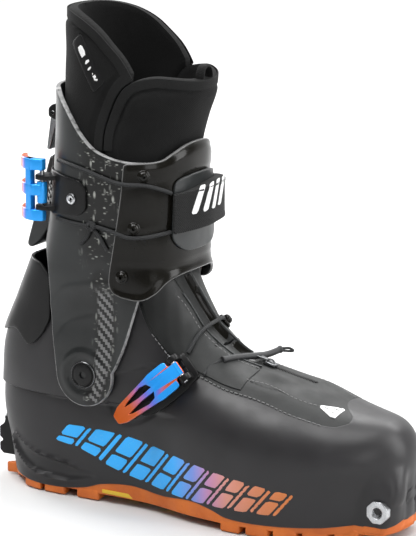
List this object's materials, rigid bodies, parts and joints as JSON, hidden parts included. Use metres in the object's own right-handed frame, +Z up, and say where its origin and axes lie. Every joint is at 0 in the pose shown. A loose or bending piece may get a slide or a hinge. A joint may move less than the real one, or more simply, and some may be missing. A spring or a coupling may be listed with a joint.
{
  "type": "alpine touring boot",
  "caption": "Low-weight ski touring boot for the right foot: rigid clog with instep gaiter, walking cuff on ankle pivots, rear lock, tall liner, two buckles and lugged sole.",
  "frame": {"origin": "middle of the boot's outline on the ground, level with the bottom of the lugs", "axes": "+X from heel to toe, +Y to the medial side, +Z up the leg"},
  "size_m": [0.293, 0.1084, 0.3109],
  "materials": {
    "shell": "matte black moulded nylon",
    "carbon": "carbon fibre laminate under satin resin",
    "gloss": "dark glossy moulded plastic",
    "fabric": "black woven textile",
    "gaiter": "rubberised stretch textile",
    "orange": "orange sole rubber",
    "lever": "anodised, fading from blue through violet to orange",
    "steel": "brushed",
    "foam": "felted foam",
    "badge": "pale printed plastic",
    "inlay": "coloured rubber inlay"
  },
  "bodies": {
    "clog": {"clog_shell": "shell", "toe_fitting": "steel", "heel_fitting": "steel", "heel_fitting_screw": "steel", "outsole_heel": "orange", "outsole_forefoot": "orange", "midfoot_inlay_lateral": "inlay", "midfoot_inlay_medial": "inlay", "boot_board": "foam", "liner_foot": "fabric", "footbed": "foam", "pivot_bolt_lateral": "gloss", "pivot_nut_lateral": "steel", "pivot_bolt_medial": "gloss", "pivot_nut_medial": "steel", "achilles_plate": "shell", "gaiter": "gaiter", "gaiter_zipper": "fabric", "toe_badge": "badge", "buckle_base": "gloss", "buckle_pin": "steel", "instep_cable_upper": "fabric", "cable_hook": "gloss", "instep_cable_lower": "fabric", "cable_sleeve": "gloss", "cable_anchor": "gloss"},
    "cuff": {"cuff_shell": "carbon", "cuff_tongue": "gloss", "tongue_rivet_upper": "gloss", "tongue_rivet_middle": "gloss", "tongue_rivet_lower": "gloss", "front_flap": "gaiter", "power_strap": "fabric", "cuff_flap": "shell", "lock_pin": "steel", "lock_bracket": "steel", "cuff_buckle_plate": "gloss", "cuff_buckle_axle": "steel", "buckle_plate_rivet": "steel", "cuff_cord_upper": "fabric", "cuff_cord_lower_rear": "fabric", "cuff_cord_lower_front": "fabric", "cord_knot": "fabric", "liner_cuff": "fabric", "liner_tongue": "fabric", "liner_label": "badge", "liner_pull_loop": "fabric"},
    "rear_lock": {"lock_plate": "gloss"},
    "upper_lever": {"cuff_lever": "lever"},
    "lower_lever": {"instep_lever": "lever", "buckle_inlay": "gloss"},
    "slider": {"zipper_slider": "steel"}
  },
  "joints": [
    {"name": "cuff_pivot", "type": "hinge", "parent": "clog", "child": "cuff", "pos_m": [-0.06247, 0.00487, 0.084], "axis": [0, 1, 0], "range_deg": [-35, 20]},
    {"name": "upper_buckle", "type": "hinge", "parent": "cuff", "child": "upper_lever", "pos_m": [-0.09247, -0.03413, 0.197], "axis": [0, 0, 1], "range_deg": [0, 110]},
    {"name": "lock_hinge", "type": "hinge", "parent": "cuff", "child": "rear_lock", "pos_m": [-0.10247, 0.00487, 0.2415], "axis": [0, 1, 0], "range_deg": [0, 18]},
    {"name": "lower_buckle", "type": "hinge", "parent": "clog", "child": "lower_lever", "pos_m": [0.00411, -0.03438, 0.0957], "axis": [-0.7216, 0.1836, 0.6676], "range_deg": [0, 110]},
    {"name": "zip_travel", "type": "slide", "parent": "clog", "child": "slider", "axis": [0.9767, 0, -0.2145], "range_m": [0, 0.024]}
  ]
}
